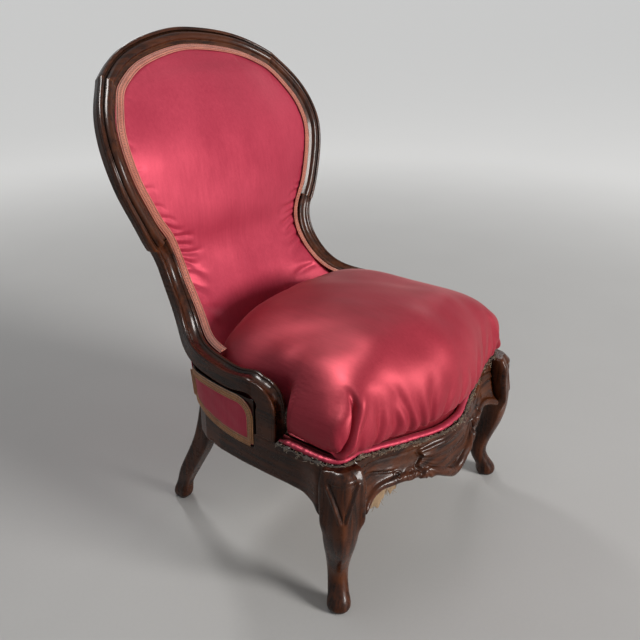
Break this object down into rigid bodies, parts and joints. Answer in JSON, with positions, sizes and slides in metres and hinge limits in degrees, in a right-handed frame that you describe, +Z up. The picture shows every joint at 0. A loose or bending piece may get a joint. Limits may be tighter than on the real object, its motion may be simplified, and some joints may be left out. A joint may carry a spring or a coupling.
{
  "type": "dressing chair",
  "caption": "Low upholstered dressing chair with a balloon back, scrolled arms, cabriole front legs, raked rear legs and a sprung seat in red satin",
  "frame": {"origin": "on the floor, midway across the chair and midway along its overall depth", "axes": "Z up from the floor, X across the chair with +X on the right of someone looking at its front, -Y the way the seat faces"},
  "size_m": [0.5632, 0.6774, 0.8646],
  "materials": {
    "varnished_wood": "dark stained walnut or mahogany under a worn gloss varnish",
    "red_satin": "crimson satin with a fine lengthwise streak",
    "hessian": "coarse jute hessian",
    "stuffing": "curled hair and wadding",
    "bare_wood": "unfinished timber",
    "webbing": "jute webbing",
    "iron": "dark iron",
    "salmon_braid": "woven braid, salmon",
    "spring_steel": "dull spring wire",
    "gold_braid": "woven braid, tan gold"
  },
  "bodies": {
    "root": {"arm_left": "varnished_wood", "arm_right": "varnished_wood", "back_cover": "red_satin", "back_hessian": "hessian", "back_stile_left": "varnished_wood", "back_stile_right": "varnished_wood", "back_stuffing": "stuffing", "back_tacking_rail": "bare_wood", "back_webbing": "webbing", "block_screws": "iron", "bottom_cloth": "hessian", "crest_rail": "varnished_wood", "frame_dowels": "bare_wood", "front_corner_block_left": "bare_wood", "front_corner_block_right": "bare_wood", "front_leg_left": "varnished_wood", "front_leg_right": "varnished_wood", "front_seat_rail": "varnished_wood", "hessian_scrap": "hessian", "inner_back_gimp": "salmon_braid", "inside_arm_left": "red_satin", "inside_arm_right": "red_satin", "outer_back_cover": "red_satin", "rear_corner_block_left": "bare_wood", "rear_corner_block_right": "bare_wood", "rear_leg_left": "varnished_wood", "rear_leg_right": "varnished_wood", "rear_seat_rail": "varnished_wood", "seat_border_band": "red_satin", "seat_border_roll": "red_satin", "seat_cover": "red_satin", "seat_hessian": "hessian", "seat_springs": "spring_steel", "seat_stuffing": "stuffing", "seat_webbing": "webbing", "side_gimp_left": "gold_braid", "side_gimp_right": "gold_braid", "side_panel_left": "red_satin", "side_panel_right": "red_satin", "side_seat_rail_left": "varnished_wood", "side_seat_rail_right": "varnished_wood", "webbing_tacks": "iron"}
  },
  "joints": []
}
